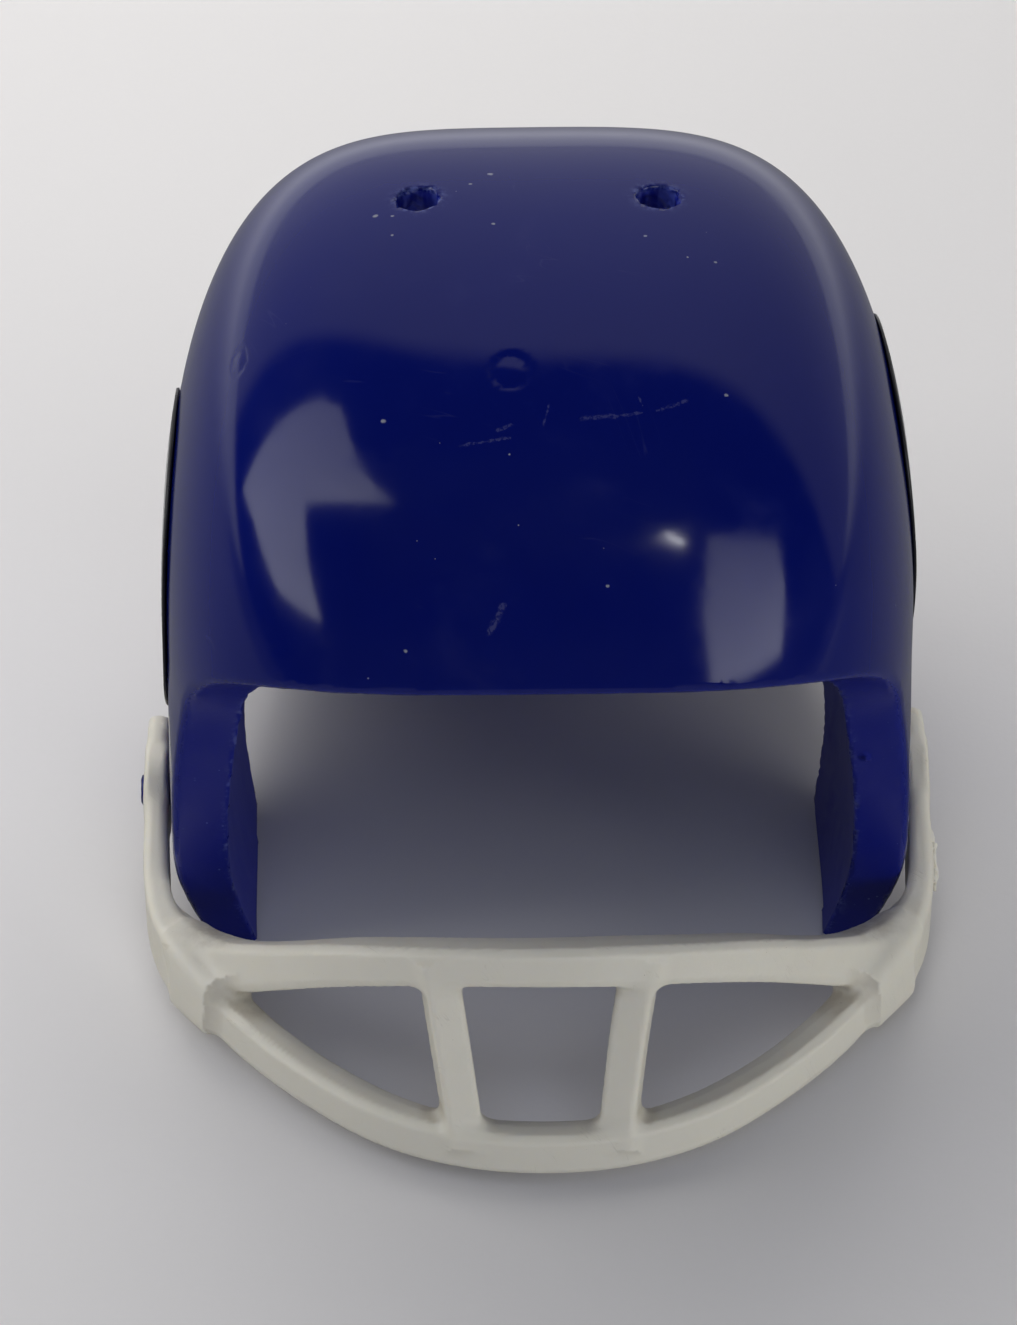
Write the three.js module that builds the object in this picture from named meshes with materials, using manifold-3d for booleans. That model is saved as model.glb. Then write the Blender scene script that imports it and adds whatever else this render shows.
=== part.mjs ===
// Miniature snap-together football helmet: a one-piece moulded dome shell with
// two side pegs, a one-piece faceguard that clips over the pegs and tilts on
// them, and two thin round side decals.  Millimetres, +Z up, the face looks
// towards -Y, the origin is on the resting plane in the middle of the footprint.
import * as THREE from 'three';
import { mergeVertices } from 'three/addons/utils/BufferGeometryUtils.js';
import Module from 'manifold-3d';

// ---------------------------------------------------------------- dimensions
// "f" below is the distance forward of the dome centre; world Y is Y0 - f.
const HALF_WIDTH = 18.45;       // outside half width of the dome
const FRONT_REACH = 22.0;       // dome centre to the front of the full dome
const BACK_REACH = 22.8;        // dome centre to the back
const CROWN = 20.9;             // height of the crown above the widest line
const WAIST_Z = 16.7;           // height of the widest line above the table
const SIDE_POWER = 3.9;         // squareness of the cross-section
const ROUND_POWER = 2.1;
const FRONT_POWER = 0.5;        // extra squareness of the front
const CHEEK_POWER = 2.2;        // and of the cheeks below the widest line
const TUCK_Z = 7.0;             // below this height the sides tuck in
const TUCK = 1.9;               // tuck of the outside at the bottom edge
const NAPE_TUCK = 0.12;         // share of the back reach lost at the nape
const WALL_SIDE = 2.7;          // wall thickness at the cheeks
const WALL_FRONT = 2.4;
const WALL_BACK = 2.4;
const WALL_CROWN = 2.2;
const INNER_TUCK = 1.3;

const VENT_D = 2.0;             // two vent holes through the crown
const VENT_X = 5.7;
const VENT_F = -2.0;

const PEG_F = 4.0;              // hinge pegs on the cheeks
const PEG_Z = 5.0;
const PEG_D = 1.6;
const PEG_TIP = 20.25;          // x of the peg ends
const PEG_HOLE_D = 2.2;

const ARM_IN = 18.85;           // faceguard arm, inside and outside faces
const ARM_OUT = 19.95;
const ARM_H = 3.3;              // height of the arm
const EYE_D = 4.6;              // boss round the peg
const BAR_DEPTH = 2.0;          // faceguard bars, front to back
const LOWER_H = 2.3;
const UPPER_H = 2.05;
const POST_W = 1.75;            // the two uprights
const POST_DEPTH = 1.8;
const POST_SHIFT = 0.35;        // the uprights sit a little left of the middle

const DECAL_GAP = 0.22;
const DECAL_T = 0.2;
const DECAL_RF = 7.4;           // half length and half height of a decal
const DECAL_RZ = 8.3;
const DECAL_LEFT = [-0.5, 17.3];    // f, z of the centre
const DECAL_RIGHT = [-3.0, 19.6];

const Y0 = 2.345;               // world Y of the dome centre

// ------------------------------------------------------------------ helpers
const wasm = await Module();
wasm.setup();

// The same body with its seam and cap vertices shared.
function closed(geometry) {
  const g = geometry.clone();
  if (g.getAttribute('normal')) g.deleteAttribute('normal');
  if (g.getAttribute('uv')) g.deleteAttribute('uv');
  return mergeVertices(g, 1e-5);
}

function toSolid(geometry) {
  const m = geometry.getAttribute('normal') ? closed(geometry) : geometry;
  const pos = m.getAttribute('position');
  const idx = m.getIndex().array;
  const tri = [];
  for (let i = 0; i < idx.length; i += 3) {
    if (idx[i] !== idx[i + 1] && idx[i + 1] !== idx[i + 2] && idx[i] !== idx[i + 2]) tri.push(idx[i], idx[i + 1], idx[i + 2]);
  }
  return new wasm.Manifold(new wasm.Mesh({
    numProp: 3,
    vertProperties: new Float32Array(pos.array),
    triVerts: new Uint32Array(tri),
  }));
}

function toGeometry(solid) {
  const mesh = solid.getMesh();
  const n = mesh.numProp;
  const count = mesh.vertProperties.length / n;
  const p = new Float32Array(count * 3);
  for (let i = 0; i < count; i++) {
    p[3 * i] = mesh.vertProperties[n * i];
    p[3 * i + 1] = mesh.vertProperties[n * i + 1];
    p[3 * i + 2] = mesh.vertProperties[n * i + 2];
  }
  const g = new THREE.BufferGeometry();
  g.setAttribute('position', new THREE.BufferAttribute(p, 3));
  g.setIndex(Array.from(mesh.triVerts));
  g.computeVertexNormals();
  return g;
}

// Moves every vertex of a closed geometry by fn(Vector3); keeps it closed.
function remap(source, fn) {
  const geometry = closed(source);
  const pos = geometry.getAttribute('position');
  const v = new THREE.Vector3();
  for (let i = 0; i < pos.count; i++) {
    v.fromBufferAttribute(pos, i);
    fn(v);
    pos.setXYZ(i, v.x, v.y, v.z);
  }
  pos.needsUpdate = true;
  return geometry;
}

const at = (x, f, z) => new THREE.Vector3(x, Y0 - f, z);

// A side-view outline (f, z) drawn as a THREE.Shape and pushed through in X.
function sideCutter(points, x0, x1) {
  const shape = new THREE.Shape(points.map(([f, z]) => new THREE.Vector2(f, z)));
  const g = new THREE.ExtrudeGeometry(shape, { depth: x1 - x0, bevelEnabled: false });
  // local x -> -Y, local y -> Z, local z -> -X : a proper rotation
  return remap(g, (v) => v.set(x1 - v.z, Y0 - v.x, v.y));
}

// ------------------------------------------------------------- dome surface
function dome(x, f, z, d) {
  const low = Math.max(0, (WAIST_Z - z) / WAIST_Z);
  const reach = f > 0 ? d.front : d.back * (1 - NAPE_TUCK * low * low);
  const fn = Math.abs(f) / reach;
  const zn = Math.max(0, z - WAIST_Z) / d.crown;
  const r2 = fn * fn + zn * zn;
  const cheek = CHEEK_POWER * Math.min(1, low * 1.8);
  const power = ROUND_POWER + (f > 0 ? (FRONT_POWER + cheek) * (fn * fn) / (r2 + 1e-9) : 0);
  const t = Math.max(0, (TUCK_Z - Math.max(z, -1)) / TUCK_Z);
  const half = d.side - d.tuck * t * t;
  return Math.pow(Math.abs(x) / half, SIDE_POWER) + Math.pow(Math.sqrt(r2), power) - 1;
}

const OUTER = { side: HALF_WIDTH, front: FRONT_REACH, back: BACK_REACH, crown: CROWN, tuck: TUCK };
const INNER = {
  side: HALF_WIDTH - WALL_SIDE, front: FRONT_REACH - WALL_FRONT, back: BACK_REACH - WALL_BACK,
  crown: CROWN - WALL_CROWN, tuck: INNER_TUCK,
};

function domeBody(d, across, up, floor) {
  const g = new THREE.SphereGeometry(1, across, up);
  g.rotateX(Math.PI / 2);
  return remap(g, (v) => {
    const dir = v.clone().normalize();
    let lo = 0, hi = 60;
    for (let k = 0; k < 44; k++) {
      const s = (lo + hi) / 2;
      const z = WAIST_Z + dir.z * s;
      const inside = z > floor && dome(dir.x * s, -dir.y * s, z, d) < 0;
      if (inside) lo = s; else hi = s;
    }
    v.set(dir.x * lo, Y0 + dir.y * lo, WAIST_Z + dir.z * lo);
  });
}

// x of the outside surface at a place on the side
function sideX(f, z) {
  let lo = 0, hi = 30;
  for (let k = 0; k < 40; k++) {
    const s = (lo + hi) / 2;
    if (dome(s, f, z, OUTER) < 0) lo = s; else hi = s;
  }
  return lo;
}

// -------------------------------------------------------------------- shell
const faceOutline = [
  [10.2, -2], [10.3, 1], [10.6, 4], [11.1, 8], [11.6, 12], [12.0, 15], [12.35, 17.2],
  [12.9, 18.8], [13.8, 20.3], [15.0, 21.7], [16.6, 23.1], [18.4, 24.35], [20.1, 25.25],
  [22.5, 26.3], [32, 30.0], [32, -2],
];
// the rim lifts behind the cheeks and comes down again at the nape
const neckOutline = [
  [1.2, -3], [1.2, 0], [0.2, 0.25], [-1.2, 1.2], [-2.8, 2.6], [-4.6, 3.6], [-7.0, 4.0],
  [-10.5, 4.0], [-13.0, 3.4], [-15.2, 2.0], [-16.8, 0.7], [-17.8, 0], [-17.8, -3],
];

function buildShell() {
  let s = toSolid(domeBody(OUTER, 52, 32, -6));
  s = s.subtract(toSolid(domeBody(INNER, 40, 26, -9)));
  s = s.subtract(toSolid(sideCutter([[-40, -20], [40, -20], [40, 0], [-40, 0]], -40, 40)));
  s = s.subtract(toSolid(sideCutter(faceOutline, -30, 30)));
  s = s.subtract(toSolid(sideCutter(neckOutline, -30, 30)));
  for (const sx of [-1, 1]) {
    const vent = new THREE.CylinderGeometry(VENT_D / 2, VENT_D / 2, 14, 14);
    vent.rotateX(Math.PI / 2);
    vent.translate(sx * VENT_X, Y0 - VENT_F, WAIST_Z + CROWN);
    s = s.subtract(toSolid(vent));
    const root = HALF_WIDTH - WALL_SIDE * 0.55;
    const peg = new THREE.CylinderGeometry(PEG_D / 2, PEG_D / 2, PEG_TIP - root, 16);
    peg.rotateZ(Math.PI / 2);
    peg.translate(sx * (PEG_TIP + root) / 2, Y0 - PEG_F, PEG_Z);
    s = s.add(toSolid(peg));
  }
  return toGeometry(s);
}

// --------------------------------------------------------------- faceguard
// Half of a path as [x, f, z] from the middle outwards, mirrored to a whole.
const mirrored = (half) => [
  ...half.slice(1).reverse().map(([x, f, z]) => [-x, f, z]), ...half,
];
// middle line of each bar
const lowerLine = mirrored([
  [0, 26.45, 2.25], [3.9, 26.0, 2.25], [7.5, 24.6, 2.25], [11.1, 22.0, 2.3],
  [13.9, 19.2, 2.35], [15.7, 16.9, 2.45], [17.0, 15.2, 2.6],
]);
const upperLine = mirrored([
  [0, 23.75, 12.0], [3.5, 23.4, 11.7], [6.5, 22.5, 10.9], [9.5, 21.05, 9.5],
  [12.2, 19.1, 7.4], [14.3, 17.0, 5.25], [15.7, 15.5, 4.0], [16.8, 14.5, 3.3],
]);

// A bar: an eight-sided prism bent along a line.  depth is across the wall of
// the guard, height is along it; lean tips the section back and flare makes
// the ends taller than the middle.
function bar(line, steps, depth, height, lean, flare) {
  const curve = new THREE.CatmullRomCurve3(line.map(([x, f, z]) => at(x, f, z)), false, 'centripetal');
  const g = new THREE.CylinderGeometry(1, 1, 1, 8, steps, false);
  g.rotateY(Math.PI / 8);
  const k = 1 / Math.cos(Math.PI / 8);
  return remap(g, (v) => {
    const u = Math.min(1, Math.max(0, v.y + 0.5));
    const p = curve.getPointAt(u);
    const t = curve.getTangentAt(u);
    const flat = new THREE.Vector3(t.x, t.y, 0).normalize();
    const level = new THREE.Vector3(flat.y, -flat.x, 0);     // horizontal, across the bar
    if (level.y > 0) level.negate();
    const up = new THREE.Vector3(0, 0, 1).addScaledVector(level, -Math.tan(lean));
    up.addScaledVector(t, -up.dot(t)).normalize();
    const out = new THREE.Vector3().crossVectors(t, up).normalize();
    if (out.dot(level) < 0) out.negate();
    const grow = 1 + flare * Math.pow(Math.abs(2 * u - 1), 3);
    const a = v.x * k * depth / 2, b = v.z * k * height * grow / 2;
    v.copy(p).addScaledVector(out, a).addScaledVector(up, b);
  });
}

// The arm plate of one side, with its bend round the cheek to the corner.
function arm(sx) {
  const mid = (ARM_IN + ARM_OUT) / 2;
  // f, x of the plate middle, z of its middle, thickness, height
  const rows = [
    [0.2, mid, 5.75, 1.1, 2.4], [1.4, mid, 5.5, 1.1, 3.4], [4.0, mid, 5.05, 1.1, 3.7],
    [6.5, mid, 4.45, 1.1, ARM_H], [8.6, mid - 0.02, 3.85, 1.15, ARM_H], [10.2, mid - 0.15, 3.4, 1.25, 3.4],
    [11.7, mid - 0.42, 3.1, 1.4, 3.6], [13.2, mid - 0.9, 3.0, 1.6, 3.7], [14.6, mid - 1.65, 2.95, 1.8, 3.7],
    [15.8, mid - 2.6, 2.85, 1.9, 3.5], [16.7, mid - 3.4, 2.75, 1.9, 3.1],
  ];
  const plate = new THREE.CylinderGeometry(1, 1, 1, 8, rows.length - 1, false);
  plate.rotateY(Math.PI / 8);
  const k = 1 / Math.cos(Math.PI / 8);
  return remap(plate, (v) => {
    const i = Math.round((v.y + 0.5) * (rows.length - 1));
    const [f, x, z, t, h] = rows[i];
    const a = rows[Math.max(0, i - 1)], b = rows[Math.min(rows.length - 1, i + 1)];
    const dir = new THREE.Vector2(b[1] - a[1], b[0] - a[0]).normalize();   // x, f
    const nx = dir.y, nf = -dir.x;                                         // outwards
    const across = v.x * k * t / 2;
    v.set(sx * (x + nx * across), Y0 - (f + nf * across), z + v.z * k * h / 2);
  });
}

function flip(g) {
  const idx = g.getIndex();
  for (let i = 0; i < idx.count; i += 3) {
    const a = idx.getX(i + 1);
    idx.setX(i + 1, idx.getX(i + 2));
    idx.setX(i + 2, a);
  }
}

function orient(geometry) {
  let s = toSolid(geometry);
  if (s.volume() < 0) { flip(geometry); s = toSolid(geometry); }
  return s;
}

function buildGuard() {
  let s = orient(bar(lowerLine, 26, BAR_DEPTH, LOWER_H, 0.10, 0));
  s = s.add(orient(bar(upperLine, 26, BAR_DEPTH, UPPER_H, 0.20, 0.35)));
  for (const sx of [-1, 1]) {
    // upright: from inside the upper bar down into the lower bar
    const off = POST_SHIFT;
    const post = [[sx * 4.85 - off, 23.0, 11.5], [sx * 4.25 - off, 24.3, 7.2], [sx * 3.65 - off * 0.8, 26.0, 2.4]];
    const c = new THREE.CatmullRomCurve3(post.map(([x, f, z]) => at(x, f, z)));
    const upright = new THREE.CylinderGeometry(1, 1, 1, 8, 4, false);
    upright.rotateY(Math.PI / 8);
    const k = 1 / Math.cos(Math.PI / 8);
    const g = remap(upright, (v) => {
      const u = Math.min(1, Math.max(0, v.y + 0.5));
      const p = c.getPointAt(u), t = c.getTangentAt(u);
      const side = new THREE.Vector3(1, -sx * 0.24, 0).normalize();
      const fwd = new THREE.Vector3().crossVectors(side, t).normalize();
      const a = v.x * k * POST_W / 2, b = v.z * k * POST_DEPTH / 2;
      v.copy(p).addScaledVector(side, a).addScaledVector(fwd, b);
    });
    s = s.add(orient(g));
    s = s.add(orient(arm(sx)));
    const eye = new THREE.CylinderGeometry(EYE_D / 2, EYE_D / 2, ARM_OUT - ARM_IN, 20);
    eye.rotateZ(Math.PI / 2);
    eye.translate(sx * (ARM_IN + ARM_OUT) / 2, Y0 - PEG_F, PEG_Z);
    s = s.add(toSolid(eye));
    const hole = new THREE.CylinderGeometry(PEG_HOLE_D / 2, PEG_HOLE_D / 2, 6, 16);
    hole.rotateZ(Math.PI / 2);
    hole.translate(sx * (ARM_IN + ARM_OUT) / 2, Y0 - PEG_F, PEG_Z);
    s = s.subtract(toSolid(hole));
  }
  return toGeometry(s);
}

// ------------------------------------------------------------------- decals
function buildDecal(sx, [cf, cz]) {
  const disc = new THREE.LatheGeometry([
    new THREE.Vector2(0, 0), new THREE.Vector2(0.35, 0), new THREE.Vector2(0.7, 0), new THREE.Vector2(1, 0),
    new THREE.Vector2(1, 1), new THREE.Vector2(0.7, 1), new THREE.Vector2(0.35, 1), new THREE.Vector2(0, 1),
  ], 24);
  const g = remap(disc, (v) => {
    const f = cf + v.x * DECAL_RF, z = cz + v.z * DECAL_RZ;
    v.set(sx * (sideX(f, z) + DECAL_GAP + v.y * DECAL_T), Y0 - f, z);
  });
  return toGeometry(orient(g));
}

// ----------------------------------------------------------------- assembly
const shellPlastic = new THREE.MeshStandardMaterial({ color: 0x14176b, roughness: 0.22, metalness: 0 });
const guardPlastic = new THREE.MeshStandardMaterial({ color: 0xc9c6ba, roughness: 0.5, metalness: 0 });
const decalVinyl = new THREE.MeshStandardMaterial({ color: 0x15151a, roughness: 0.4, metalness: 0 });

function part(name, geometry, material) {
  const mesh = new THREE.Mesh(geometry, material);
  mesh.name = name;
  return mesh;
}

const helmet = new THREE.Group();
helmet.add(part('shell', buildShell(), shellPlastic));
helmet.add(part('faceguard', buildGuard(), guardPlastic));
helmet.add(part('decal_left', buildDecal(-1, DECAL_LEFT), decalVinyl));
helmet.add(part('decal_right', buildDecal(1, DECAL_RIGHT), decalVinyl));

export default helmet;
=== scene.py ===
import bpy
import math
import numpy as np
from mathutils import Matrix, Vector


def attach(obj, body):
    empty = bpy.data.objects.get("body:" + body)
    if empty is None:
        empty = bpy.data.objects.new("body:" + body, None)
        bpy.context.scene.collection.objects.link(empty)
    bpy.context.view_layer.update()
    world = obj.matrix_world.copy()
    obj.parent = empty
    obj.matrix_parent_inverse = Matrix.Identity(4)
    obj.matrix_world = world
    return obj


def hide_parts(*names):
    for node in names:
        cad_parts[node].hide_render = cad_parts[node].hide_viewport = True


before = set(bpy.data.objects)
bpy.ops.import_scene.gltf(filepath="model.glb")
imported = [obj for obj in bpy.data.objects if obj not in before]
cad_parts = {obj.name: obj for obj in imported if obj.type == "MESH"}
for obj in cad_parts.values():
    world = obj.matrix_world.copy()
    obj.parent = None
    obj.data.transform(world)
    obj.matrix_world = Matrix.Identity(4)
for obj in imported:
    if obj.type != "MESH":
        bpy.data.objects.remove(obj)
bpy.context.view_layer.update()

# ---------------------------------------------------------------------------
# Miniature moulded football helmet.  Lengths below are millimetres in the
# helmet's own directions: x to the right, f forward (towards the face), z up.
# World Y is Y0 - f, and the meshes are written in metres.
# ---------------------------------------------------------------------------
Y0 = 2.345
HALF_WIDTH, FRONT_REACH, BACK_REACH, CROWN = 18.45, 22.0, 22.8, 20.9
WAIST_Z, SIDE_POWER, ROUND_POWER = 16.7, 3.9, 2.1
FRONT_POWER, CHEEK_POWER = 0.5, 2.2
TUCK_Z, TUCK, NAPE_TUCK, INNER_TUCK = 7.0, 1.9, 0.12, 1.3
WALL_SIDE, WALL_FRONT, WALL_BACK, WALL_CROWN = 2.7, 2.4, 2.4, 2.2
VENT_D, VENT_X, VENT_F = 2.0, 5.7, -2.0
PEG_F, PEG_Z, PEG_D = 4.0, 5.0, 1.6
PEG_TIP_LEFT, PEG_TIP_RIGHT = 20.25, 19.75
PEG_HOLE_D = 2.2
ARM_IN, ARM_OUT, EYE_D = 18.85, 19.95, 4.6
POST_SHIFT = 0.35
DECAL_RF, DECAL_RZ = 7.4, 8.3
DECAL_LEFT, DECAL_RIGHT = (-0.5, 17.3), (-3.0, 19.6)
DECAL_GAP, DECAL_T = 0.05, 0.16

FACE = [[10.2, -2], [10.3, 1], [10.6, 4], [11.1, 8], [11.6, 12], [12.0, 15], [12.35, 17.2],
        [12.9, 18.8], [13.8, 20.3], [15.0, 21.7], [16.6, 23.1], [18.4, 24.35], [20.1, 25.25],
        [22.5, 26.3], [32, 30.0], [32, -2]]
NECK = [[1.2, -3], [1.2, 0], [0.2, 0.25], [-1.2, 1.2], [-2.8, 2.6], [-4.6, 3.6], [-7.0, 4.0],
        [-10.5, 4.0], [-13.0, 3.4], [-15.2, 2.0], [-16.8, 0.7], [-17.8, 0], [-17.8, -3]]
LOWER = [[0, 26.45, 2.25], [3.9, 26.0, 2.25], [7.5, 24.6, 2.25], [11.1, 22.0, 2.3],
         [13.9, 19.2, 2.35], [15.7, 16.9, 2.45], [17.0, 15.2, 2.6]]
UPPER = [[0, 23.75, 12.0], [3.5, 23.4, 11.7], [6.5, 22.5, 10.9], [9.5, 21.05, 9.5],
         [12.2, 19.1, 7.4], [14.3, 17.0, 5.25], [15.7, 15.5, 4.0], [16.8, 14.5, 3.3]]
OUTER = dict(side=HALF_WIDTH, front=FRONT_REACH, back=BACK_REACH, crown=CROWN, tuck=TUCK)
INNER = dict(side=HALF_WIDTH - WALL_SIDE, front=FRONT_REACH - WALL_FRONT,
             back=BACK_REACH - WALL_BACK, crown=CROWN - WALL_CROWN, tuck=INNER_TUCK)


# ---------------------------------------------------------------- small maths
def ramp(t, k):
    """max(0, t) with a soft knee k wide."""
    return 0.5 * (t + np.sqrt(t * t + k * k))


def rmax(a, b, r):
    """Cut of two solids with a rounded edge."""
    u, v = np.maximum(a + r, 0), np.maximum(b + r, 0)
    return np.sqrt(u * u + v * v) + np.minimum(np.maximum(a + r, b + r), 0) - r


def smin(a, b, k):
    """Join of two solids with a fillet."""
    h = np.maximum(k - np.abs(a - b), 0) / k
    return np.minimum(a, b) - h * h * k * 0.25


def step(x, lo, hi):
    t = np.clip((x - lo) / (hi - lo), 0, 1)
    return t * t * (3 - 2 * t)


class Waves:
    """Smooth seeded wobble made of plane waves."""

    def __init__(self, seed, n, shortest, longest):
        g = np.random.default_rng(seed)
        d = g.normal(size=(n, 3))
        d /= np.linalg.norm(d, axis=1)[:, None]
        self.k = d * (2 * math.pi / g.uniform(shortest, longest, n))[:, None]
        self.p = g.uniform(0, 2 * math.pi, n)

    def __call__(self, x, f, z):
        s = 0.0
        for k, p in zip(self.k, self.p):
            s = s + np.sin(k[0] * x + k[1] * f + k[2] * z + p)
        return s / math.sqrt(len(self.p) * 0.5)


def spline(points, spacing):
    """Centripetal Catmull-Rom line, resampled evenly."""
    P = np.array(points, float)
    E = np.vstack([2 * P[0] - P[1], P, 2 * P[-1] - P[-2]])
    out = []
    for i in range(len(P) - 1):
        p0, p1, p2, p3 = E[i:i + 4]
        d0, d1, d2 = (np.linalg.norm(b - a) ** 0.5 for a, b in ((p0, p1), (p1, p2), (p2, p3)))
        t1 = ((p1 - p0) / d0 - (p2 - p0) / (d0 + d1) + (p2 - p1) / d1) * d1
        t2 = ((p2 - p1) / d1 - (p3 - p1) / (d1 + d2) + (p3 - p2) / d2) * d1
        u = np.linspace(0, 1, 48, endpoint=False)[:, None]
        out.append(p1 + t1 * u + (-3 * p1 + 3 * p2 - 2 * t1 - t2) * u ** 2 + (2 * p1 - 2 * p2 + t1 + t2) * u ** 3)
    out.append(P[-1:])
    Q = np.vstack(out)
    s = np.r_[0, np.cumsum(np.linalg.norm(np.diff(Q, axis=0), axis=1))]
    n = max(8, int(round(s[-1] / spacing)) + 1)
    t = np.linspace(0, s[-1], n)
    return np.stack([np.interp(t, s, Q[:, k]) for k in range(Q.shape[1])], 1), t[1]


def mirrored(half):
    return [[-x, f, z] for x, f, z in half[:0:-1]] + half


# ------------------------------------------------------------- dome and shell
def dome(x, f, z, d):
    low = ramp((WAIST_Z - z) / WAIST_Z, 0.06)
    reach = np.where(f > 0, d["front"], d["back"] * (1 - NAPE_TUCK * low * low))
    fn = np.abs(f) / reach
    zn = ramp(z - WAIST_Z, 1.2) / d["crown"]
    r2 = fn * fn + zn * zn
    c = 1.8 * low
    c = np.minimum(c, 1) - np.maximum(0.4 - np.abs(c - 1), 0) ** 2 / 1.6
    power = ROUND_POWER + np.where(f > 0, (FRONT_POWER + CHEEK_POWER * c) * fn * fn / (r2 + 1e-9), 0)
    t = np.maximum(0, (TUCK_Z - np.maximum(z, -1)) / TUCK_Z)
    half = d["side"] - d["tuck"] * t * t
    return (np.abs(x) / half) ** SIDE_POWER + (r2 + 1e-12) ** (0.5 * power) - 1


def dome_distance(x, f, z, d):
    e = 0.02
    g = dome(x, f, z, d)
    gx = dome(x + e, f, z, d) - g
    gf = dome(x, f + e, z, d) - g
    gz = dome(x, f, z + e, d) - g
    return g * e / np.maximum(np.sqrt(gx * gx + gf * gf + gz * gz), e * 0.012)


def outline_table(points, closed_tail, f0, f1, z0, z1, h):
    """Distance to a side-view outline on a fine (f, z) table; negative inside."""
    line, _ = spline([[a, b] for a, b in points], 0.25)
    P = np.vstack([line, np.array(closed_tail, float)]) if closed_tail else line
    F, Z = np.arange(f0, f1, h), np.arange(z0, z1, h)
    G = np.stack(np.meshgrid(F, Z, indexing="ij"), -1).reshape(-1, 2)
    best = np.full(len(G), 1e9)
    cross = np.zeros(len(G), bool)
    Q = np.roll(P, -1, axis=0)
    for a, b in zip(P, Q):
        e = b - a
        w = G - a
        t = np.clip((w @ e) / max(e @ e, 1e-12), 0, 1)
        v = w - t[:, None] * e
        best = np.minimum(best, (v * v).sum(1))
        hit = (a[1] > G[:, 1]) != (b[1] > G[:, 1])
        if abs(e[1]) > 1e-12:
            cross ^= hit & (G[:, 0] < e[0] * (G[:, 1] - a[1]) / e[1] + a[0])
    D = np.sqrt(best) * np.where(cross, -1, 1)
    return f0, z0, h, D.reshape(len(F), len(Z))


FACE_TABLE = outline_table(FACE[:-2], [[40, 34.0], [40, -2]], -26, 26, -3, 40, 0.1)
NECK_TABLE = outline_table(NECK, None, -26, 26, -3, 40, 0.1)


def lookup(table, f, z):
    f0, z0, h, D = table
    u = np.clip((f - f0) / h, 0, D.shape[0] - 1.001)
    v = np.clip((z - z0) / h, 0, D.shape[1] - 1.001)
    i, j = u.astype(np.int32), v.astype(np.int32)
    a, b = u - i, v - j
    return (D[i, j] * (1 - a) * (1 - b) + D[i + 1, j] * a * (1 - b)
            + D[i, j + 1] * (1 - a) * b + D[i + 1, j + 1] * a * b)


wobble = Waves(11, 12, 9, 22)
ripple = Waves(12, 14, 1.1, 3.0)
rough_rim = Waves(13, 16, 0.35, 1.0)
GATE = (-1.47, 9.33, 35.75)
MARK = (-14.1, 4.9, 33.0)


def gate_mark(x, f, z):
    r = np.sqrt((x - GATE[0]) ** 2 + (f - GATE[1]) ** 2 + (z - GATE[2]) ** 2)
    d = 0.030 * np.exp(-((r - 0.78) / 0.24) ** 2) - 0.012 * np.exp(-(r / 0.45) ** 2)
    q = np.sqrt((x - MARK[0]) ** 2 + ((f - MARK[1]) * 0.8) ** 2 + (z - MARK[2]) ** 2)
    return d + 0.018 * np.exp(-((q - 0.5) / 0.2) ** 2)


def outer_distance(x, f, z):
    return dome_distance(x, f, z, OUTER) + 0.010 * wobble(x, f, z) + gate_mark(x, f, z)


def shell_fields(x, f, z):
    out = outer_distance(x, f, z)
    inn = dome_distance(x, f, z, INNER) + 0.015 * wobble(x + 7, f, z)
    face = -lookup(FACE_TABLE, f, z) + 0.004 * ripple(x, f, z)
    neck = -lookup(NECK_TABLE, f, z) + 0.004 * ripple(x, f, z)
    return out, inn, face, neck


def shell_distance(x, f, z):
    out, inn, face, neck = shell_fields(x, f, z)
    d = rmax(out, face, 0.38)
    d = rmax(d, neck, 0.30)
    d = rmax(d, -z, 0.16)
    d = rmax(d, -inn, 0.18)
    rim = 0.05 * rough_rim(x, f, z)
    for sx in (-1, 1):
        r = np.sqrt((x - sx * VENT_X) ** 2 + (f - VENT_F) ** 2)
        hole = np.where(z > 24, VENT_D / 2 + rim - r, -5.0)
        d = rmax(d, hole, 0.14)
        tip = PEG_TIP_LEFT if sx < 0 else PEG_TIP_RIGHT
        rr = np.sqrt((f - PEG_F) ** 2 + (z - PEG_Z) ** 2) - PEG_D / 2
        peg = rmax(rr + 0.03 * rough_rim(x, f, z), np.maximum(x * sx - tip, 17.0 - x * sx), 0.18)
        d = smin(d, peg, 0.15)
    # a small flake left standing on the inside edge of the right cheek
    burr = np.sqrt(((x - 15.75) / 0.16) ** 2 + ((f - 11.9) / 0.16) ** 2 + ((z - 13.9) / 0.34) ** 2) - 1
    return smin(d, burr * 0.16, 0.06)


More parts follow.
